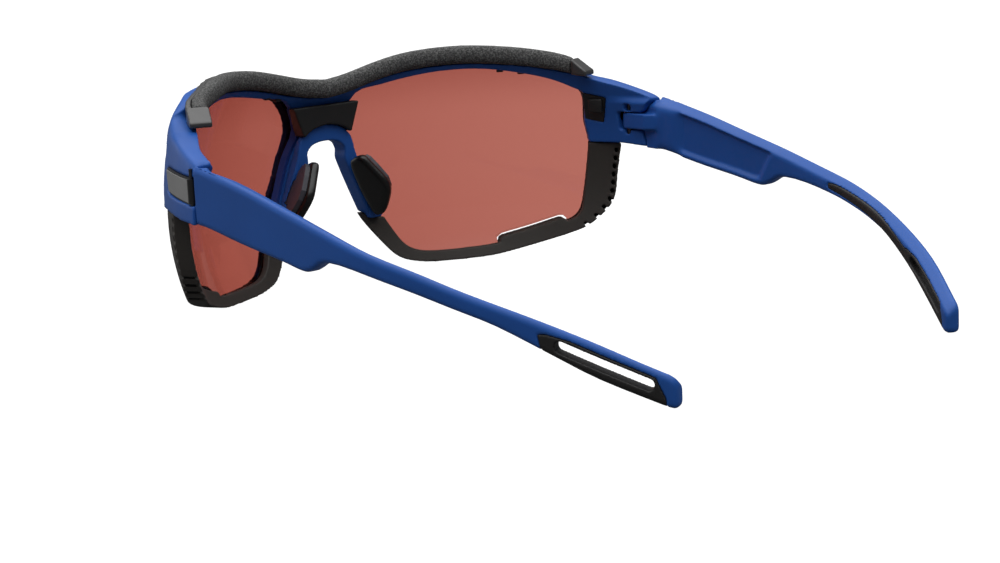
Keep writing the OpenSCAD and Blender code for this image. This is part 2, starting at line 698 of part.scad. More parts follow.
// Lens lock
module lock_lever() color("#333333") difference() {
    union() {
        intersection() {
            translate([lens_x, -setback, 0]) difference() {
                cylinder(r = lever_out_r, h = big);
                translate([0, 0, -1]) cylinder(r = lever_r, h = big + 2);
            }
            across_side(50, 90) polygon(lever_side);
        }
        translate([lock_x, lock_y, knuckle_z[0]]) cylinder(r = knuckle_r, h = knuckle_z[1] - knuckle_z[0]);
        intersection() {
            translate([lens_x, -setback, hook_z[0]]) difference() {
                cylinder(r = lever_r + 0.5, h = hook_z[1] - hook_z[0]);
                translate([0, 0, -1]) cylinder(r = hook_r, h = 10);
            }
            translate([40, hook_y[0], 0]) cube([50, hook_y[1] - hook_y[0], big]);
        }
    }
    translate([lock_x, lock_y, 0]) cylinder(r = lock_pin_r + pin_running, h = big);
}

module lock_plate() color("gray") difference() {
    intersection() {
        translate([lens_x, -setback, 0]) difference() {
            cylinder(r = lever_out_r + plate_t, h = big);
            translate([0, 0, -1]) cylinder(r = lever_out_r, h = big + 2);
        }
        across_side(50, 90) polygon(grow(lever_side, -0.5));
    }
    translate([lock_x, lock_y, 0]) cylinder(r = knuckle_r + fit, h = big);
}

// Housing in the inside of the end piece, and its shape grown by d
module housing_form(d) intersection() {
    between_balls(rear_r - 1, rear_r + 0.9 + d);
    across_side(50, 80) polygon(grow([[12, 39.5], [17.3, 40.7], [18, 34.2], [13.6, 33.3]], d));
}
module lock_housing() color("#161616") difference() {
    housing_form(0);
    ball(rear_r + 0.05);
}

module lock_pin() color("silver")
    translate([lock_x, lock_y, lock_pin_z[0]]) cylinder(r = lock_pin_r, h = lock_pin_z[1] - lock_pin_z[0]);

front_frame();
on_left() lens();  // lens_left
place() lens();  // lens_right
on_left() lower_rim();  // lower_rim_left
place() lower_rim();  // lower_rim_right
on_left() lens_seal();  // lens_seal_left
place() lens_seal();  // lens_seal_right
bridge_cover();
on_left() nose_pad();  // nose_pad_left
place() nose_pad();  // nose_pad_right
on_left() pad_core();  // pad_core_left
place() pad_core();  // pad_core_right
sweat_bar_carrier();
sweat_bar_foam();
on_left() temple();  // temple_left
place() temple();  // temple_right
on_left() temple_grip();  // temple_grip_left
place() temple_grip();  // temple_grip_right
on_left() hinge_pin();  // hinge_pin_left
place() hinge_pin();  // hinge_pin_right
on_left() lock_lever();  // lock_lever_left
place() lock_lever();  // lock_lever_right
on_left() lock_plate();  // lock_plate_left
place() lock_plate();  // lock_plate_right
on_left() lock_housing();  // lock_housing_left
place() lock_housing();  // lock_housing_right
on_left() lock_pin();  // lock_pin_left
place() lock_pin();  // lock_pin_right
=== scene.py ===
# %% [markdown]
# # Sports sunglasses: dressing a finished frame
# The rigid pieces come ready-made and stay where they are. This lesson gives them their finish: satin
# blue mouldings with rounded edges, tinted lenses, speckled foam and soft black rubber. Every piece
# that is made here sits on the ready-made one that it stands for, in metres.

# %% Load the frame and keep its box
import math

import bmesh
import bpy
import numpy as np
from mathutils import Matrix, Vector


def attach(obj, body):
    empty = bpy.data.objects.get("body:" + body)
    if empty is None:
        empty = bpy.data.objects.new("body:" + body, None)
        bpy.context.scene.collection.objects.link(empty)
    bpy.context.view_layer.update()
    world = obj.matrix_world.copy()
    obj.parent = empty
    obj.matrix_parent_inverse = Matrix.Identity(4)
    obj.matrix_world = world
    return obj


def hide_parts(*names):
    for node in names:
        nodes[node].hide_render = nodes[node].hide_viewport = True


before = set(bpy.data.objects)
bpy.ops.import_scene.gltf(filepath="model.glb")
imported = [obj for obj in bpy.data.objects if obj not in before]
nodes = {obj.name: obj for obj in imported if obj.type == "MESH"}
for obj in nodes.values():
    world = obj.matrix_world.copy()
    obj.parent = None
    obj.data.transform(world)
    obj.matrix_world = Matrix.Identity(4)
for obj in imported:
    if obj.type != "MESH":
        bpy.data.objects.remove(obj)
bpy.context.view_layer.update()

MM = 0.001
SIDES = {"right": 1, "left": -1}


# %% [markdown]
# ## The camera
# The photograph was taken from behind and to the left of the wearer, a little above the glasses, with
# a long lens. A camera looks along its own -Z, so its matrix is made from the three directions right,
# up and back. The picture leans a little, which is a turn about the back direction.

# %% Camera at the photograph's viewing angle
azimuth = math.radians(-39.97)
elevation = math.radians(11.07)
lean = math.radians(-2.62)
distance = 487.8 * MM
target = Vector((-11.66, -1.4, 9.65)) * MM
focal_in_widths = 2.25
sensor_width = 36


def put_in_scene(name, data):
    thing = bpy.data.objects.new(name, data)
    bpy.context.scene.collection.objects.link(thing)
    return thing


back = Vector((
    math.sin(azimuth) * math.cos(elevation),
    -math.cos(azimuth) * math.cos(elevation),
    math.sin(elevation),
))
right = Vector((math.cos(azimuth), math.sin(azimuth), 0))
up = back.cross(right)
leaning_right = math.cos(lean) * right + math.sin(lean) * up
leaning_up = math.cos(lean) * up - math.sin(lean) * right

camera_data = bpy.data.cameras.new("photo_camera")
camera_data.sensor_width = sensor_width
camera_data.lens = focal_in_widths * sensor_width
camera_data.clip_start = 0.01
camera = put_in_scene("photo_camera", camera_data)
place = Matrix((leaning_right, leaning_up, back)).transposed().to_4x4()
place.translation = target + back * distance
camera.matrix_world = place
bpy.context.scene.camera = camera
print("camera at", [round(v, 3) for v in place.translation], "lens", round(camera_data.lens, 1), "mm")

# %% [markdown]
# ## Floor and light
# The glasses stand on plain white. A wide dish of white floor, flat in the middle and turned up far
# away, hides the horizon from every side. A white floor would throw much light up against the sides of
# the glasses, and the photograph shows them dark, so the floor shines white only on its way to the
# camera, straight or through a lens. Light Path tells the two kinds of ray apart.

# %% The dish's form
flat_radius = 2.6
curl_radius = 1.2
curl_steps = 6
curl_turn = math.radians(15)

floor_mesh = bpy.data.meshes.new("white_floor")
bm = bmesh.new()
bmesh.ops.create_circle(bm, cap_ends=True, cap_tris=False, radius=flat_radius, segments=64)
rim = list(bm.edges)
for count in range(1, curl_steps + 1):
    rise = curl_radius * (1 - math.cos(curl_turn * count))
    reach = flat_radius + curl_radius * math.sin(curl_turn * count)
    grown = bmesh.ops.extrude_edge_only(bm, edges=rim)["geom"]
    rim = [e for e in grown if isinstance(e, bmesh.types.BMEdge)]
    for v in {v for e in rim for v in e.verts}:
        flat = Vector((v.co.x, v.co.y, 0)).normalized() * reach
        v.co = (flat.x, flat.y, rise)
bmesh.ops.recalc_face_normals(bm, faces=bm.faces)
if sum(f.normal.z for f in bm.faces) < 0:
    bmesh.ops.reverse_faces(bm, faces=bm.faces)
for f in bm.faces:
    f.smooth = len(f.verts) == 4
bm.to_mesh(floor_mesh)
bm.free()
floor = put_in_scene("white_floor", floor_mesh)
print("floor reaches", round(reach, 2), "m")


# %% White for the camera, dull for the rest
def new_finish(name):
    """A material with its node tree and its Principled shader."""
    finish = bpy.data.materials.new(name)
    finish.use_nodes = True
    return finish, finish.node_tree, finish.node_tree.nodes["Principled BSDF"]


def seen_or_passing(tree):
    """1 for rays from the camera, straight or through a lens, and 0 for all others."""
    path = tree.nodes.new("ShaderNodeLightPath")
    either = tree.nodes.new("ShaderNodeMath")
    either.operation = "MAXIMUM"
    tree.links.new(path.outputs["Is Camera Ray"], either.inputs[0])
    tree.links.new(path.outputs["Is Transmission Ray"], either.inputs[1])
    return either.outputs["Value"]


floor_paint, tree, dull = new_finish("white_floor")
dull.inputs["Base Color"].default_value = (0.12, 0.12, 0.12, 1)
dull.inputs["Roughness"].default_value = 0.9
dull.inputs["Specular IOR Level"].default_value = 0.1
white = tree.nodes.new("ShaderNodeEmission")
white.inputs["Strength"].default_value = 1.0
both = tree.nodes.new("ShaderNodeAddShader")
chosen = tree.nodes.new("ShaderNodeMixShader")
tree.links.new(white.outputs["Emission"], both.inputs[0])
tree.links.new(dull.outputs["BSDF"], both.inputs[1])
tree.links.new(seen_or_passing(tree), chosen.inputs["Fac"])
tree.links.new(dull.outputs["BSDF"], chosen.inputs[1])
tree.links.new(both.outputs["Shader"], chosen.inputs[2])
tree.links.new(chosen.outputs["Shader"], tree.nodes["Material Output"].inputs["Surface"])
floor_mesh.materials.append(floor_paint)
print("floor painted with", len(tree.nodes), "nodes")

# %% [markdown]
# The main light is one very wide, soft panel right above the glasses. It is painted on the world:
# bright straight up, dim at the sides, with a soft edge between. So tops shine and sides stay deep in
# colour. The picture's tones are shown as they are, without a film curve that would grey the white.

# %% Soft light from above
panel_edge = (0.45, 0.85)
side_and_panel_light = (0.13, 2.1)

bpy.context.scene.view_settings.view_transform = "Standard"
world = bpy.data.worlds.new("soft_box_above")
world.use_nodes = True
tree = world.node_tree
light = tree.nodes["Background"]
light.inputs["Color"].default_value = (1, 1, 1, 1)
ways = tree.nodes.new("ShaderNodeTexCoord")
height = tree.nodes.new("ShaderNodeSeparateXYZ")
edge = tree.nodes.new("ShaderNodeMapRange")
edge.interpolation_type = "SMOOTHSTEP"
edge.inputs["From Min"].default_value, edge.inputs["From Max"].default_value = panel_edge
edge.inputs["To Min"].default_value, edge.inputs["To Max"].default_value = side_and_panel_light
strength = tree.nodes.new("ShaderNodeMix")
strength.inputs["B"].default_value = 1.0
tree.links.new(ways.outputs["Generated"], height.inputs["Vector"])
tree.links.new(height.outputs["Z"], edge.inputs["Value"])
tree.links.new(edge.outputs["Result"], strength.inputs["A"])
tree.links.new(seen_or_passing(tree), strength.inputs["Factor"])
tree.links.new(strength.outputs["Result"], light.inputs["Strength"])
bpy.context.scene.world = world
print("light from above, as bright as", side_and_panel_light[1])

# %% [markdown]
# A small round light in front of the glasses lifts the faces that look that way. The camera doesn't see
# it, straight or through a lens. An area light shines along its own -Z, so its Z points away from the
# glasses, which stand round the origin.

# %% Soft light in front
glow = bpy.data.lights.new("soft_box_in_front", "AREA")
glow.shape = "DISK"
glow.size = 0.6
glow.energy = 0.9
glow_box = put_in_scene("soft_box_in_front", glow)
glow_at = Vector((-0.35, 0.95, 0.22))
turned = glow_at.to_track_quat("Z", "Y").to_matrix().to_4x4()
turned.translation = glow_at
glow_box.matrix_world = turned
glow_box.visible_camera = False
glow_box.visible_transmission = False
print("light in front,", glow.energy, "W")

# %% [markdown]
# ## Building blocks for materials
# Moulded plastic is never perfectly flat. The tool that made it leaves a fine, even grain, and handling
# leaves faint patches where it shines more. Both are small node groups here: they read the object's own
# coordinates and put out a height or a mask, and each material decides how much it uses.


# %% A node group for grain, and one for patches
def new_group(name, inputs, output):
    """A group with number sockets, and a noise on the object's own coordinates inside."""
    group = bpy.data.node_groups.new(name, "ShaderNodeTree")
    for label, value in inputs.items():
        socket = group.interface.new_socket(label, in_out="INPUT", socket_type="NodeSocketFloat")
        socket.default_value = value
    group.interface.new_socket(output, in_out="OUTPUT", socket_type="NodeSocketFloat")
    given, result = group.nodes.new("NodeGroupInput"), group.nodes.new("NodeGroupOutput")
    place = group.nodes.new("ShaderNodeTexCoord")
    noise = group.nodes.new("ShaderNodeTexNoise")
    group.links.new(place.outputs["Object"], noise.inputs["Vector"])
    group.links.new(given.outputs["Size per m"], noise.inputs["Scale"])
    return group, given, noise, result


def make_grain():
    inputs = {"Size per m": 3000.0, "Roughness": 0.6}
    group, given, noise, result = new_group("moulded_grain", inputs, "Height")
    noise.inputs["Detail"].default_value = 3
    group.links.new(given.outputs["Roughness"], noise.inputs["Roughness"])
    group.links.new(noise.outputs["Fac"], result.inputs["Height"])
    return group


def make_patches():
    inputs = {"Size per m": 60.0, "Least": 0.3, "Most": 0.4}
    group, given, noise, result = new_group("handled_patches", inputs, "Value")
    noise.inputs["Detail"].default_value = 4
    spread = group.nodes.new("ShaderNodeMapRange")
    spread.inputs["From Min"].default_value = 0.35
    spread.inputs["From Max"].default_value = 0.65
    group.links.new(noise.outputs["Fac"], spread.inputs["Value"])
    group.links.new(given.outputs["Least"], spread.inputs["To Min"])
    group.links.new(given.outputs["Most"], spread.inputs["To Max"])
    group.links.new(spread.outputs["Result"], result.inputs["Value"])
    return group


grain_group = make_grain()
patch_group = make_patches()
print("groups:", [g.name for g in bpy.data.node_groups])


# %% A moulded finish from colour, shine and grain
def use_group(tree, group, **values):
    node = tree.nodes.new("ShaderNodeGroup")
    node.node_tree = group
    for label, value in values.items():
        node.inputs[label.replace("_", " ")].default_value = value
    return node


def add_shine(tree, shader, size_per_m, least, most):
    """Roughness that drifts between two values, in patches."""
    gloss = use_group(tree, patch_group, Size_per_m=size_per_m, Least=least, Most=most)
    tree.links.new(gloss.outputs["Value"], shader.inputs["Roughness"])


def add_grain(tree, shader, size_per_m, depth):
    """Grain as a bump, its depth in metres."""
    height = use_group(tree, grain_group, Size_per_m=size_per_m)
    bump = tree.nodes.new("ShaderNodeBump")
    bump.inputs["Distance"].default_value = depth
    tree.links.new(height.outputs["Height"], bump.inputs["Height"])
    tree.links.new(bump.outputs["Normal"], shader.inputs["Normal"])


def colour_blend(tree, share, first, second):
    """A mix of two colours, by a share from 0 to 1."""
    blend = tree.nodes.new("ShaderNodeMix")
    blend.data_type = "RGBA"
    blend.inputs["A"].default_value = (*first, 1)
    blend.inputs["B"].default_value = (*second, 1)
    tree.links.new(share, blend.inputs["Factor"])
    return blend


def moulded(name, colour, shine, grain, level=0.5):
    """A plastic or rubber finish. Its tone drifts a little, in patches larger than those of its shine."""
    shine_patches, tone_patches = 60, 42
    darker, lighter = 0.93, 1.06
    finish, tree, shader = new_finish(name)
    shader.inputs["Specular IOR Level"].default_value = level
    tone = use_group(tree, patch_group, Size_per_m=tone_patches, Least=0.0, Most=1.0)
    ends = [[c * factor for c in colour] for factor in (darker, lighter)]
    blend = colour_blend(tree, tone.outputs["Value"], *ends)
    tree.links.new(blend.outputs["Result"], shader.inputs["Base Color"])
    add_shine(tree, shader, shine_patches, *shine)
    add_grain(tree, shader, *grain)
    return finish


# %% [markdown]
# ## The finishes
# Satin royal blue for the front and the temples, near-black for the lower rims, rubber for the pads and
# grips. Shine is the least and the most roughness. Grain is the number of grains per metre and their
# depth in metres, a few hundredths of a millimetre at most. Level is how strongly the surface mirrors,
# half being usual for plastic.

# %% Plastics, rubbers and steel
satin, matt, dry = (0.42, 0.5), (0.4, 0.5), (0.5, 0.6)
fine, shallow, plain, coarse = (2500, 0.000006), (3000, 0.00001), (3000, 0.00002), (3500, 0.00002)

blue = moulded("satin_blue", (0.016, 0.097, 0.405), satin, fine, level=0.3)
rim_black = moulded("rim_black", (0.045, 0.040, 0.036), (0.5, 0.62), coarse, level=0.3)
cover_black = moulded("cover_black", (0.012, 0.012, 0.012), matt, shallow)
# The lens seal, lining the nasal groove wall, is a darker blue than the frame.
dark_groove_blue = moulded("dark_groove_blue", (0.014, 0.045, 0.240), matt, plain)
# Near-black for the vent strips, far darker than the rim's own black: painted shade in the vents' pits.
pit_shade_black = moulded("pit_shade_black", (0.004, 0.004, 0.004), (0.6, 0.7), plain, level=0.1)
pad_rubber = moulded("pad_rubber", (0.004, 0.004, 0.004), (0.26, 0.34), (2500, 0.00001))
core_grey = moulded("core_grey", (0.060, 0.060, 0.075), (0.35, 0.45), shallow)
grip_rubber = moulded("grip_rubber", (0.012, 0.011, 0.011), dry, (3500, 0.00003))
carrier_grey = moulded("carrier_grey", (0.032, 0.032, 0.032), (0.34, 0.42), shallow, level=0.9)
lever_black = moulded("lever_black", (0.012, 0.012, 0.013), matt, plain)
plate_grey = moulded("plate_grey", (0.26, 0.26, 0.26), (0.35, 0.45), (4000, 0.00003))

steel, tree, shader = new_finish("turned_steel")
shader.inputs["Base Color"].default_value = (0.09, 0.09, 0.095, 1)
shader.inputs["Metallic"].default_value = 1.0
add_shine(tree, shader, 900, 0.22, 0.4)
print("plain finishes made:", len(bpy.data.materials))


# %% [markdown]
# A lens is glass with full transmission, and its base colour is the tint that light takes on its way
# through. The tint deepens from the right end to the left end, along X, which is painted shade, for the
# two lenses are alike. It deepens a little more near the top, along Z. So two colour mixes follow each
# other, the first giving the second what it starts from.

# %% Red-brown tint of the lenses, with painted shade towards the left
def share_along(tree, coordinate, start, end, most=1.0, interpolation="LINEAR"):
    """How far along a coordinate a point lies, from 0 at the start to most at the end, in metres."""
    share = tree.nodes.new("ShaderNodeMapRange")
    share.interpolation_type = interpolation
    share.inputs["From Min"].default_value = start
    share.inputs["From Max"].default_value = end
    share.inputs["To Max"].default_value = most
    tree.links.new(coordinate, share.inputs["Value"])
    return share.outputs["Result"]


def lens_tint():
    # The deeper tint at the left end is painted shade; the two lenses are really alike.
    light_tint, left_shade_tint, top_tint = (0.405, 0.131, 0.102), (0.275, 0.053, 0.036), (0.200, 0.030, 0.020)
    lens_end = 0.062
    finish, tree, shader = new_finish("red_brown_lens")
    shader.inputs["Transmission Weight"].default_value = 1.0
    shader.inputs["IOR"].default_value = 1.36
    place = tree.nodes.new("ShaderNodeTexCoord")
    parts = tree.nodes.new("ShaderNodeSeparateXYZ")
    tree.links.new(place.outputs["Object"], parts.inputs["Vector"])
    # The share of painted shade, growing from the right end to the left end.
    shade_leftward = share_along(tree, parts.outputs["X"], lens_end, -lens_end)
    upward = share_along(tree, parts.outputs["Z"], 0.036, 0.054, 0.55, "SMOOTHSTEP")
    across = colour_blend(tree, shade_leftward, light_tint, left_shade_tint)
    tint = colour_blend(tree, upward, light_tint, top_tint)
    tree.links.new(across.outputs["Result"], tint.inputs["A"])
    tree.links.new(tint.outputs["Result"], shader.inputs["Base Color"])
    add_shine(tree, shader, 25, 0.05, 0.09)
    return finish


lens_red = lens_tint()
print("lens tint made with", len(lens_red.node_tree.nodes), "nodes")


# %% [markdown]
# Foam is made of cells about a third of a millimetre wide. Some catch the light and some are pits, so
# one noise gives a speckle of two greys, and the grain group gives a bump of the same size.

# %% Speckled foam
def speckled_foam():
    cells_per_m = 2600
    greys = ((0.42, (0.058, 0.058, 0.058, 1)), (0.72, (0.200, 0.202, 0.200, 1)))
    finish, tree, shader = new_finish("speckled_foam")
    shader.inputs["Specular IOR Level"].default_value = 0.2
    shader.inputs["Roughness"].default_value = 0.95
    place = tree.nodes.new("ShaderNodeTexCoord")
    cells = tree.nodes.new("ShaderNodeTexNoise")
    cells.inputs["Scale"].default_value = cells_per_m
    cells.inputs["Detail"].default_value = 2
    ramp = tree.nodes.new("ShaderNodeValToRGB")
    for stop, (position, grey) in zip(ramp.color_ramp.elements, greys):
        stop.position = position
        stop.color = grey
    tree.links.new(place.outputs["Object"], cells.inputs["Vector"])
    tree.links.new(cells.outputs["Fac"], ramp.inputs["Fac"])
    tree.links.new(ramp.outputs["Color"], shader.inputs["Base Color"])
    add_grain(tree, shader, cells_per_m, 0.00015)
    return finish


foam_grey = speckled_foam()
print("foam made with", len(foam_grey.node_tree.nodes), "nodes")

# %% Each ready-made piece gets its finish
finish_of = {
    "front_frame": blue, "lens": lens_red, "lower_rim": rim_black, "lens_seal": dark_groove_blue,
    "bridge_cover": cover_black, "nose_pad": pad_rubber, "pad_core": core_grey,
    "sweat_bar_carrier": carrier_grey, "sweat_bar_foam": foam_grey, "temple": blue,
    "temple_grip": grip_rubber, "hinge_pin": steel, "lock_lever": lever_black,
    "lock_plate": plate_grey, "lock_housing": lever_black, "lock_pin": steel,
}
for name, node in nodes.items():
    kind = name.removesuffix("_left").removesuffix("_right")
    node.data.materials.clear()
    node.data.materials.append(finish_of[kind])
print("finishes given to", len(nodes), "nodes")

# %% [markdown]
# ## Soft edges
# A plastic moulding has no knife edges: the tool is rounded, and light runs along every rim. The
# ready-made solids are sharp. A bevel would stumble over their many tiny faces, so a copy of each is
# rebuilt from a fine grid of cubes instead, which always gives clean, even quads, and then smoothed a
# little, which rounds all edges alike. Rubber and foam are made in the same way. The foam sweat bar
# gets a coarser grid and more smoothing.


# %% A piece of the glasses, and a modifier's result made plain mesh
def placed(name, mesh, body, paint):
    """Put a mesh in the scene as a piece that moves with a body and takes its finish from a slot."""
    piece = put_in_scene(name, mesh)
    mesh.materials.clear()
    mesh.materials.append(paint)
    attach(piece, body)
    return piece


def settled(piece):
    """Apply the modifiers, so that only a smooth-shaded mesh is left."""
    graph = bpy.context.evaluated_depsgraph_get()
    graph.update()
    done = bpy.data.meshes.new_from_object(piece.evaluated_get(graph))
    rough = piece.data
    piece.modifiers.clear()
    piece.data = done
    bpy.data.meshes.remove(rough)
    done.name = piece.name
    for face in done.polygons:
        face.use_smooth = True


# %% Soft-edged copies of mouldings, rubbers and foam
def merged_copy(node_name, piece_name):
    """A copy of a ready-made mesh, with its loose triangles joined into one skin."""
    mesh = nodes[node_name].data.copy()
    mesh.name = piece_name
    bm = bmesh.new()
    bm.from_mesh(mesh)
    bmesh.ops.remove_doubles(bm, verts=bm.verts, dist=0.000004)
    bm.to_mesh(mesh)
    bm.free()
    return mesh


def softened(node_name, piece_name, body, slot, paint, grid, passes):
    piece = placed(piece_name, merged_copy(node_name, piece_name), body, paint)
    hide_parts(node_name)
    cubes = piece.modifiers.new("cubes", "REMESH")
    cubes.mode = "VOXEL"
    cubes.voxel_size = grid * MM
    smooth = piece.modifiers.new("smooth", "SMOOTH")
    smooth.factor = 0.5
    smooth.iterations = passes
    settled(piece)
    print(piece_name, "has", len(piece.data.polygons), "quads")
    return piece


# Ready-made node, new piece, body, slot, finish, grid in millimetres, smoothing passes
soft_pieces = [
    ("sweat_bar_foam", "foam_bar", "front", "foam", foam_grey, 0.4, 6),
    ("front_frame", "front_moulding", "front", "blue_plastic", blue, 0.317, 4),
    ("lower_rim_left", "rim_left", "front", "black_plastic", rim_black, 0.26, 3),
    ("lower_rim_right", "rim_right", "front", "black_plastic", rim_black, 0.26, 3),
    ("temple_left", "arm_left", "temple_left_arm", "blue_plastic", blue, 0.3, 5),
    ("temple_right", "arm_right", "temple_right_arm", "blue_plastic", blue, 0.3, 5),
    ("nose_pad_left", "pad_left", "front", "soft_rubber", pad_rubber, 0.3, 6),
    ("nose_pad_right", "pad_right", "front", "soft_rubber", pad_rubber, 0.3, 6),
    ("bridge_cover", "cover", "front", "cover", cover_black, 0.25, 4),
    ("sweat_bar_carrier", "bar_carrier", "front", "grey_plastic", carrier_grey, 0.3, 3),
    ("temple_grip_left", "grip_left", "temple_left_arm", "soft_rubber", grip_rubber, 0.25, 3),
    ("temple_grip_right", "grip_right", "temple_right_arm", "soft_rubber", grip_rubber, 0.25, 3),
]
made = {row[1]: softened(*row) for row in soft_pieces}
print("soft-edged pieces:", len(made))


# %% [markdown]
# ## Touches
# Some forms are easier to press into the finished skin than to draw in the solid. Each touch below
# moves the points of one soft-edged copy by a small, smooth amount, as a thumb would on clay. All
# points are read at once, in millimetres, and the left half is mirrored to the right while it is
# worked on, so one set of numbers does for both sides. A pair of numbers is a soft slope: a touch has
# no effect before the first and its full effect past the second.

# %% Reading the points, and moving them back
def step(value, low, high):
    """0 below low, 1 above high, and a soft slope between."""
    share = np.clip((value - low) / (high - low), 0, 1)
    return share * share * (3 - 2 * share)


def skin_of(piece):
    """All points and their outward directions, in millimetres, and mirrored to the right side."""
    count = len(piece.data.vertices)
    places, normals = np.empty(count * 3), np.empty(count * 3)
    piece.data.vertices.foreach_get("co", places)
    piece.data.vertices.foreach_get("normal", normals)
    places, normals = places.reshape(-1, 3) / MM, normals.reshape(-1, 3)
    side = np.where(places[:, 0] < 0, -1.0, 1.0)
    places[:, 0] *= side
    normals[:, 0] *= side
    return places, normals, side


def put_back(piece, places, side):
    places[:, 0] *= side
    piece.data.vertices.foreach_set("co", (places * MM).ravel())
    piece.data.update()


def limits(p, value, chosen=slice(None)):
    """Lowest and highest value in each millimetre of the length, read smoothly in between."""
    start = math.floor(p[:, 1].min())
    rows = np.floor(p[chosen, 1]).astype(int) - start
    low, high = np.full(rows.max() + 1, np.inf), np.full(rows.max() + 1, -np.inf)
    np.minimum.at(low, rows, value[chosen])
    np.maximum.at(high, rows, value[chosen])
    known = np.flatnonzero(np.isfinite(low))
    at = known + start + 0.5
    return np.interp(p[:, 1], at, low[known]), np.interp(p[:, 1], at, high[known])


print("hand tools ready")


# %% [markdown]
# The inner edge of the top is thin where a temple meets the front, which leaves a hollow under a ledge.
# The sweat bar, its carrier and the brow turn in at the corners. Whole walls are moved, or a share of
# their thickness, so that a thin wall is never turned inside out.

# %% Thin top edge at the seam, and corners drawn in
def shave_inner_edge(piece, depth, rear, front, high):
    """Thin the top of a piece from the inside, between two soft ends of its length."""
    end_piece, seam_side = (55, 58), 50
    p, normal, side = skin_of(piece)
    top = (p[:, 2] > high[1]) & (p[:, 0] > end_piece[0]) & (p[:, 1] < seam_side)
    inner, outer = limits(p, p[:, 0], top)
    near = step(p[:, 1], *rear) * (1 - step(p[:, 1], *front)) * step(p[:, 0], *end_piece)
    share = np.clip((outer - p[:, 0]) / (outer - inner), 0, 1)
    p[:, 0] += depth * near * share * step(p[:, 2], *high)
    put_back(piece, p, side)


def draw_in(piece, shift, high):
    """Move the top of a corner towards the middle. It fades to the rear, the front and the middle."""
    rear, front, middle = (49, 60), (60, 78), (24, 40)
    p, normal, side = skin_of(piece)
    corner = step(p[:, 1], *rear) * (1 - step(p[:, 1], *front)) * step(p[:, 0], *middle)
    p += (corner * step(p[:, 2], *high))[:, None] * np.array(shift)
    put_back(piece, p, side)


shave_inner_edge(made["front_moulding"], 1.3, rear=(27, 28), front=(33, 43), high=(38, 40.2))
for name in ("arm_right", "arm_left"):
    shave_inner_edge(made[name], 1.2, rear=(12, 24), front=(40, 41), high=(37.4, 39.2))
draw_in(made["front_moulding"], (-1.1, -0.9, -0.1), high=(43, 49))
for name in ("foam_bar", "bar_carrier"):
    draw_in(made[name], (-1.4, -1.2, -0.15), high=(40, 45))
print("seam and corners shaped")


# %% [markdown]
# Creases are calmed by a Smooth modifier that a vertex group limits to one region. A group has one
# weight for many points, so the weights are sorted into sixteen levels first.

# %% Round band on the end pieces, and an even foam bar
def calmed(piece, share, passes):
    levels = 16
    p, normal, _ = skin_of(piece)
    weights = np.round(share(p, normal) * levels).astype(int)
    group = piece.vertex_groups.new(name="calm")
    for level in range(1, levels + 1):
        group.add([int(i) for i in np.flatnonzero(weights == level)], level / levels, "REPLACE")
    smooth = piece.modifiers.new("calm", "SMOOTH")
    smooth.vertex_group = "calm"
    smooth.factor = 0.5
    smooth.iterations = passes
    settled(piece)
    piece.vertex_groups.clear()


def end_band(p, normal):
    """The end pieces' top, where it faces outwards or up."""
    high, end_piece = (38.6, 40.0), (50, 55)
    outside = step(normal[:, 0] + normal[:, 2] * 0.8, 0.1, 0.5)
    return outside * step(p[:, 2], *high) * step(p[:, 0], *end_piece)


def foam_front(p, normal):
    front = (51, 55)
    return step(p[:, 1], *front)


calmed(made["front_moulding"], end_band, 120)
calmed(made["foam_bar"], foam_front, 12)
print("end pieces and foam calmed")

# %% [markdown]
# The rim in front of each lens is a thin lip. Seen at a slant through the lens it would show as a dark
# band, so the lip's edge stands a little further back from the opening than the rim behind the lens.
# The lens is part of a ball, and the lip's points slide along that ball. How far out the lip's edge
# lies is measured in narrow sectors round the opening, and each point moves by its distance from it.

# %% Lens lips
wrap = math.radians(29)
ball_at = Vector((7.593, 22.286, 25.8))
lens_front = 60.7
aside = np.array((math.cos(wrap), -math.sin(wrap), 0))
opening_middle = 10
sector = 4  # degrees


def lip_edge(out, turn, lip):
    """Distance of the lip's edge from the middle of the opening, evened over five sectors."""
    count = 360 // sector + 1
    edge = np.full(count, np.nan)
    for near in range(count):
        here = out[lip & (np.floor(turn) == near)]
        if len(here):
            edge[near] = here.min()
    known = np.flatnonzero(~np.isnan(edge))
    edge = np.interp(np.arange(count), known, edge[known])
    edge = np.convolve(np.pad(edge, 2, mode="wrap"), np.full(5, 0.2), mode="valid")
    return np.interp(turn, np.arange(count) + 0.5, edge)


def open_lip(piece):
    """Slide the lip outwards, by most at its edge, and by more beside the nose."""
    usual_move, nose_move, nose_side, above_nose = 1.0, 0.7, (0.5, 0.85), (-6, 0)
    p, normal, side = skin_of(piece)
    arm = p - np.array(ball_at)
    reach = np.linalg.norm(arm, axis=1)
    across, rise = arm @ aside - opening_middle, arm[:, 2]
    out = np.hypot(across, rise)
    turn = (np.degrees(np.arctan2(rise, across)) + 180) / sector
    lip = reach > lens_front - 0.2
    inner = lip_edge(out, turn, lip)
    most = usual_move + nose_move * step(-across / out, *nose_side) * step(rise, *above_nose)
    move = most * np.clip(1 - (out - inner) / (2.2 * most + 0.6), 0, 1) * lip
    along = across[:, None] * aside + rise[:, None] * np.array((0, 0, 1.0))
    skin = arm / reach[:, None]
    along -= skin * np.sum(skin * along, axis=1)[:, None]
    arm += along / np.linalg.norm(along, axis=1)[:, None] * move[:, None]
    arm *= (reach / np.linalg.norm(arm, axis=1))[:, None]
    put_back(piece, arm + np.array(ball_at), side)


for name in ("front_moulding", "rim_right", "rim_left"):
    open_lip(made[name])
print("lips opened")


# %% [markdown]
# Each temple is hollowed on its inside by a shallow panel between two ledges. Behind the hinge it
# swells into a full, round root.

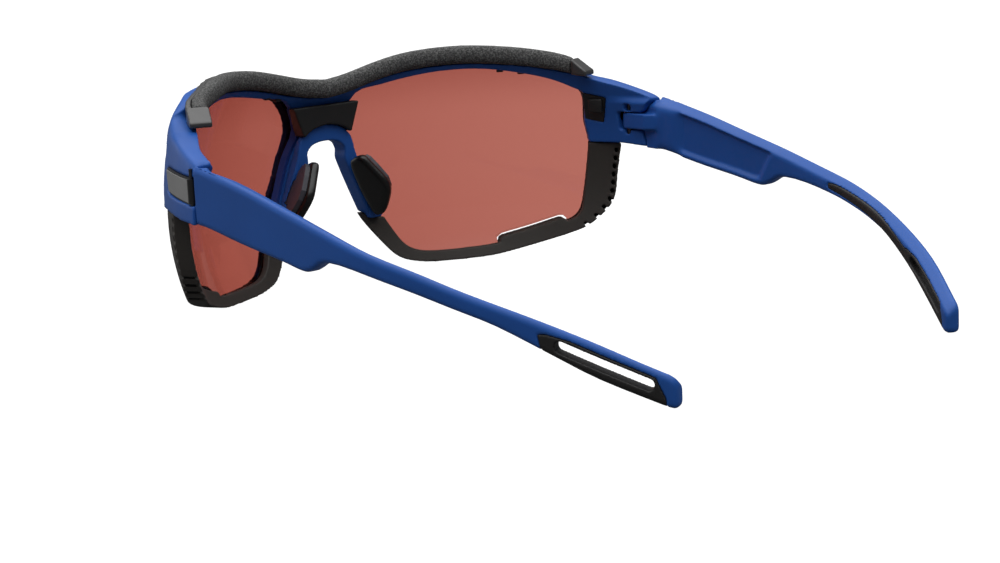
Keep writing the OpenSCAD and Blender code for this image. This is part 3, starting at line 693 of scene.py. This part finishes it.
# %% Inner panels and roots of the temples
def press_panel(piece):
    """Press in the inner face between the ledges. The panel's rear end slants, lower means further on."""
    panel_depth, panel_front = 0.9, (18, 21.5)
    rear_at_top, rear_slant = -13, 6
    p, normal, side = skin_of(piece)
    low, high = limits(p, p[:, 2])
    rear = rear_at_top + rear_slant * (1 - (p[:, 2] - low) / (high - low))
    share = step(p[:, 1], rear - 0.6, rear + 2.0) * (1 - step(p[:, 1], *panel_front))
    share *= step(p[:, 2], low + 1.0, low + 2.3) * (1 - step(p[:, 2], high - 2.2, high - 1.3))
    p[:, 0] += panel_depth * share * (normal[:, 0] < -0.35)
    put_back(piece, p, side)


def root_bulge(p, normal):
    """The inner side of the root, from behind it to just before the seam."""
    inward, rear, seam = (-0.2, 0.3), (18, 21), (26.2, 27.4)
    return step(-normal[:, 0], *inward) * step(p[:, 1], *rear) * (1 - step(p[:, 1], *seam))


for name in ("arm_right", "arm_left"):
    press_panel(made[name])
    calmed(made[name], root_bulge, 120)
print("temples pressed")

# %% [markdown]
# ## Small trim
# The vents along the lower rims are blind in the photograph. A thin strip lies inside each rim and
# closes them as their floor. Its near-black, far darker than the rim's own black, is painted shade in
# the pits. It is a square loop, drawn out step by step down the rim's outer edge. Where that edge lies
# is measured on level cuts through the ready-made rim.

# %% Strips that close the vents
strip_heights = [27.3, *range(25, 5, -2), 6.25, 5.65]
row_turns_at = 14
edge_slope_above, edge_slope_below = 0.12, 1.1
strip_front = 60.9
strip_rear_above, strip_rear_below = 59.6, 58.9
strip_near, strip_far = 0.15, 1.5


def lens_point(side, across, height, reach):
    """A point on a ball round the lens's own centre, from its place across the lens and its height."""
    rise = height - ball_at.z
    ahead = math.sqrt(reach * reach - across * across - rise * rise)
    x = ball_at.x + across * math.cos(wrap) + ahead * math.sin(wrap)
    y = ball_at.y - across * math.sin(wrap) + ahead * math.cos(wrap)
    return Vector((x * side, y, height)) * MM


def rim_edge_at(height):
    """How far out across the lens the ready-made rim reaches at a height, in millimetres."""
    bm = bmesh.new()
    bm.from_mesh(nodes["lower_rim_right"].data)
    everything = [*bm.verts, *bm.edges, *bm.faces]
    cut = bmesh.ops.bisect_plane(
        bm, geom=everything, plane_co=(0, 0, height * MM), plane_no=(0, 0, 1)
    )["geom_cut"]
    points = [v.co / MM for v in cut if isinstance(v, bmesh.types.BMVert)]
    edge = max((p - ball_at).dot(Vector(aside)) for p in points)
    bm.free()
    return edge


def next_ring(bm, ring, loop):
    """Draw a loop out once. Give back its new points, in the old ones' order, and its new edges."""
    grown = bmesh.ops.extrude_edge_only(bm, edges=loop)["geom"]
    loop = [e for e in grown if isinstance(e, bmesh.types.BMEdge) and all(v not in ring for v in e.verts)]
    partner = {}
    for f in {f for e in loop for f in e.link_faces}:
        for e in f.edges:
            old = [v for v in e.verts if v in ring]
            if len(old) == 1:
                partner[old[0]] = e.other_vert(old[0])
    return [partner[v] for v in ring], loop


def vent_strip(name, side):
    bm = bmesh.new()
    bmesh.ops.create_circle(bm, cap_ends=True, segments=4, radius=0.001)
    ring, loop = list(bm.verts), list(bm.edges)
    for row, height in enumerate(strip_heights):
        if row:
            ring, loop = next_ring(bm, ring, loop)
        edge_at = rim_edge_at(height)
        upright = height > row_turns_at
        slant = math.atan2(1, edge_slope_above if upright else edge_slope_below)
        rear = strip_rear_above if upright else strip_rear_below
        corners = (
            (strip_near, strip_front), (strip_far, strip_front),
            (strip_far, rear), (strip_near, rear),
        )
        for v, (inward, reach) in zip(ring, corners):
            across = edge_at - inward * math.sin(slant)
            v.co = lens_point(side, across, height + inward * math.cos(slant), reach)
    bmesh.ops.contextual_create(bm, geom=loop)
    bmesh.ops.recalc_face_normals(bm, faces=bm.faces)
    mesh = bpy.data.meshes.new(name)
    bm.to_mesh(mesh)
    bm.free()
    # The strip's near-black is painted shade in the vents' pits.
    return placed(name, mesh, "front", pit_shade_black)


print("rim edge:", [round(rim_edge_at(height), 2) for height in strip_heights])
for end, side in SIDES.items():
    strip = vent_strip("vent_strip_" + end, side)
    print(strip.name, "has", len(strip.data.polygons), "faces")

# %% [markdown]
# Small dark stops hang from the top edge of each opening and steady the lens. The housing of each lens
# lock carries a raised block. Both are bevelled blocks, set down where the photograph shows them: a
# stop by its place across the lens and its height, in millimetres, and turned to face the lens's own
# centre, and a latch block flat on its housing, a little sunk in.


# %% Stops and latch blocks
def small_block(name, size, edge_radius, turn, at):
    bm = bmesh.new()
    bmesh.ops.create_cube(bm, size=1, matrix=Matrix.Diagonal((*[v * MM for v in size], 1)))
    bmesh.ops.bevel(
        bm, geom=bm.edges, offset=edge_radius * MM, segments=3, profile=0.5, affect="EDGES", material=-1
    )
    bmesh.ops.rotate(bm, verts=bm.verts, matrix=Matrix.Rotation(turn, 3, "Z"))
    bmesh.ops.translate(bm, verts=bm.verts, vec=at)
    mesh = bpy.data.meshes.new(name)
    bm.to_mesh(mesh)
    bm.free()
    for f in mesh.polygons:
        f.use_smooth = True
    return placed(name, mesh, "front", cover_black)


stop_size, stop_radius, stop_reach = (1.7, 1.2, 0.9), 0.2, 57.9
outer_stops = [(13.0, 47.0), (18.1, 46.3)]
inner_stops = [(-18.1, 45.7), (-21.5, 44.9)]
latch_size, latch_radius = (3.6, 1.0, 3.3), 0.25
housing_at = Vector((59.04, 42.95, 37.55))
housing_faces = Vector((-0.904, -0.427, 0))
housing_turn = math.atan2(-5.3, 2.51)
latch_at = housing_at - housing_faces * 0.15

for end, stops in (("right", outer_stops), ("left", outer_stops + inner_stops)):
    for count, (across, height) in enumerate(stops):
        at = lens_point(SIDES[end], across, height, stop_reach)
        turn = -SIDES[end] * (wrap + math.asin(across / stop_reach))
        small_block(f"lens_stop_{end}_{count}", stop_size, stop_radius, turn, at)
for end, side in SIDES.items():
    at = Vector((latch_at.x * side, latch_at.y, latch_at.z)) * MM
    small_block("latch_block_" + end, latch_size, latch_radius, housing_turn * side, at)
print("stops and blocks set")
